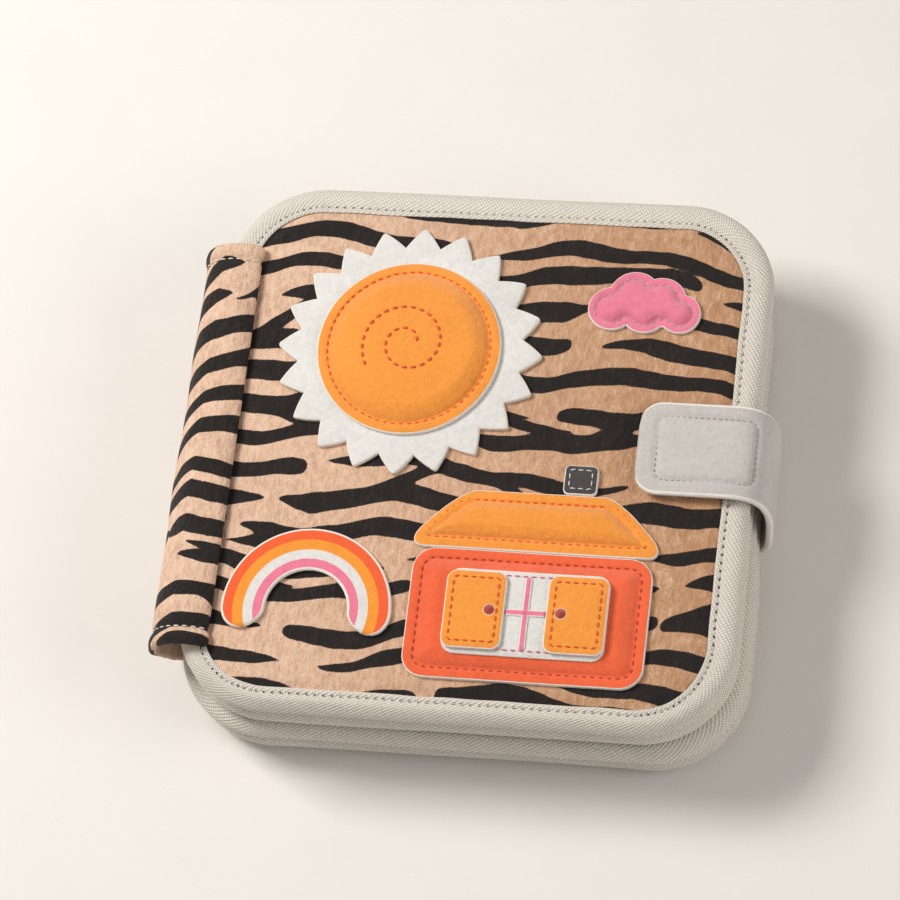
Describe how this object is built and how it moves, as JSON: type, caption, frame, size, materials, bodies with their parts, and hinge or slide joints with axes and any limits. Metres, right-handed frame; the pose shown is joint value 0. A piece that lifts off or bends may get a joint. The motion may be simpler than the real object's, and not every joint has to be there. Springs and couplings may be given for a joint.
{
  "type": "quiet book",
  "caption": "Soft felt-and-plush busy book with bound padded leaves, a folding spine wrap, a wrap-round strap and play pieces.",
  "frame": {"origin": "on the table, under the middle of the shut book's bounding box", "axes": "+X from the spine to the fore edge, +Y to the head of the book, +Z out of the front cover"},
  "size_m": [0.2294, 0.22, 0.0628],
  "materials": {
    "plush_striped": "short-pile plush, tan with dark tapered stripes",
    "twill_cream": "cream cotton twill tape, fine diagonal weave",
    "foam_grey": "soft open-cell foam sheet",
    "felt_pale": "thick pale grey felt, top-stitched",
    "felt_white": "matt wool felt, cut edges",
    "felt_orange": "matt wool felt, cut edges",
    "felt_red_orange": "matt wool felt, cut edges",
    "felt_pink": "matt wool felt, cut edges",
    "felt_charcoal": "matt wool felt, cut edges",
    "felt_brown_red": "matt wool felt, cut edges",
    "felt_green": "matt wool felt, cut edges",
    "felt_blue": "matt wool felt, cut edges",
    "hook_and_loop": "hook-and-loop tape",
    "nickel": "nickel-coloured small metal parts"
  },
  "bodies": {
    "back_cover": {"back_cover_binding": "twill_cream", "back_cover_foam": "foam_grey", "back_cover_plush": "plush_striped", "back_cover_lining": "felt_green", "spine_back_flap": "plush_striped", "strap_base": "felt_pale", "shape_circle": "felt_orange", "shape_square": "felt_pink", "shape_triangle": "felt_red_orange"},
    "spine": {"spine_wall": "plush_striped", "spine_lining": "twill_cream"},
    "leaf_2": {"leaf_2_binding": "twill_cream", "leaf_2_foam": "foam_grey", "leaf_2_front_felt": "felt_blue", "leaf_2_back_felt": "felt_blue", "leaf_2_hinge_web": "twill_cream", "zip_tape": "felt_red_orange", "zip_chain": "felt_charcoal", "zip_bottom_stop": "nickel", "zip_top_stop": "nickel", "hill": "felt_green"},
    "zip_slider": {"zip_slider": "nickel", "zip_pull": "nickel"},
    "leaf_1": {"leaf_1_binding": "twill_cream", "leaf_1_foam": "foam_grey", "leaf_1_front_felt": "felt_white", "leaf_1_back_felt": "felt_white", "leaf_1_hinge_web": "twill_cream", "clock_face": "felt_orange", "clock_pin": "nickel", "balloon": "felt_pink"},
    "hour_hand": {"hour_hand": "felt_charcoal"},
    "minute_hand": {"minute_hand": "felt_brown_red"},
    "front_cover": {"front_cover_binding": "twill_cream", "front_cover_foam": "foam_grey", "front_cover_plush": "plush_striped", "front_cover_lining": "felt_green", "spine_front_flap": "plush_striped", "strap_loop_patch": "hook_and_loop", "sun_rays": "felt_white", "sun_disc": "felt_orange", "cottage_walls": "felt_red_orange", "cottage_doorway": "felt_white", "cottage_roof": "felt_orange", "cottage_chimney": "felt_charcoal", "cloud": "felt_pink", "rainbow_strip": "felt_red_orange", "photo_frame": "felt_white"},
    "door_left": {"door_left": "felt_orange"},
    "door_right": {"door_right": "felt_orange"},
    "strap_side": {"strap_side": "felt_pale"},
    "strap_tab": {"strap_tab": "felt_pale", "strap_hook_patch": "hook_and_loop"}
  },
  "joints": [
    {"name": "cover_open", "type": "hinge", "parent": "spine", "child": "front_cover", "pos_m": [-0.1087, 0, 0.057], "axis": [0, -1, 0], "range_deg": [0, 90], "deforming": ["strap_tab", "strap_hook_patch"]},
    {"name": "spine_fold", "type": "hinge", "parent": "back_cover", "child": "spine", "pos_m": [-0.1132, 0, 0.0015], "axis": [0, -1, 0], "range_deg": [0, 90]},
    {"name": "leaf_1_turn", "type": "hinge", "parent": "spine", "child": "leaf_1", "pos_m": [-0.1095, 0, 0.0349], "axis": [0, -1, 0], "range_deg": [0, 30]},
    {"name": "leaf_2_turn", "type": "hinge", "parent": "spine", "child": "leaf_2", "pos_m": [-0.1095, 0, 0.0221], "axis": [0, -1, 0], "range_deg": [-30, 0]},
    {"name": "strap_swing", "type": "hinge", "parent": "back_cover", "child": "strap_side", "pos_m": [0.1132, 0.0045, 0.0015], "axis": [0, 1, 0], "range_deg": [0, 90]},
    {"name": "strap_tab_lift", "type": "hinge", "parent": "strap_side", "child": "strap_tab", "pos_m": [0.1132, 0.0045, 0.0581], "axis": [0, 1, 0], "range_deg": [0, 90]},
    {"name": "door_left_fold", "type": "hinge", "parent": "front_cover", "child": "door_left", "pos_m": [0.00035, -0.066, 0.0617], "axis": [0, -1, 0], "range_deg": [0, 165]},
    {"name": "door_right_fold", "type": "hinge", "parent": "front_cover", "child": "door_right", "pos_m": [0.06235, -0.066, 0.0617], "axis": [0, 1, 0], "range_deg": [0, 165]},
    {"name": "hour_hand_turn", "type": "hinge", "parent": "leaf_1", "child": "hour_hand", "pos_m": [0.0034, 0, 0.0405], "axis": [0, 0, 1], "continuous": true},
    {"name": "minute_hand_turn", "type": "hinge", "parent": "leaf_1", "child": "minute_hand", "pos_m": [0.0034, 0, 0.0415], "axis": [0, 0, 1], "continuous": true},
    {"name": "zip_slide", "type": "slide", "parent": "leaf_2", "child": "zip_slider", "axis": [0, -1, 0], "range_m": [0, 0.104]}
  ],
  "couplings": [
    {"joint": "spine_fold", "follows": "cover_open", "ratio": 1},
    {"joint": "leaf_1_turn", "follows": "cover_open", "ratio": 0.3333},
    {"joint": "leaf_2_turn", "follows": "cover_open", "ratio": -0.3333}
  ]
}
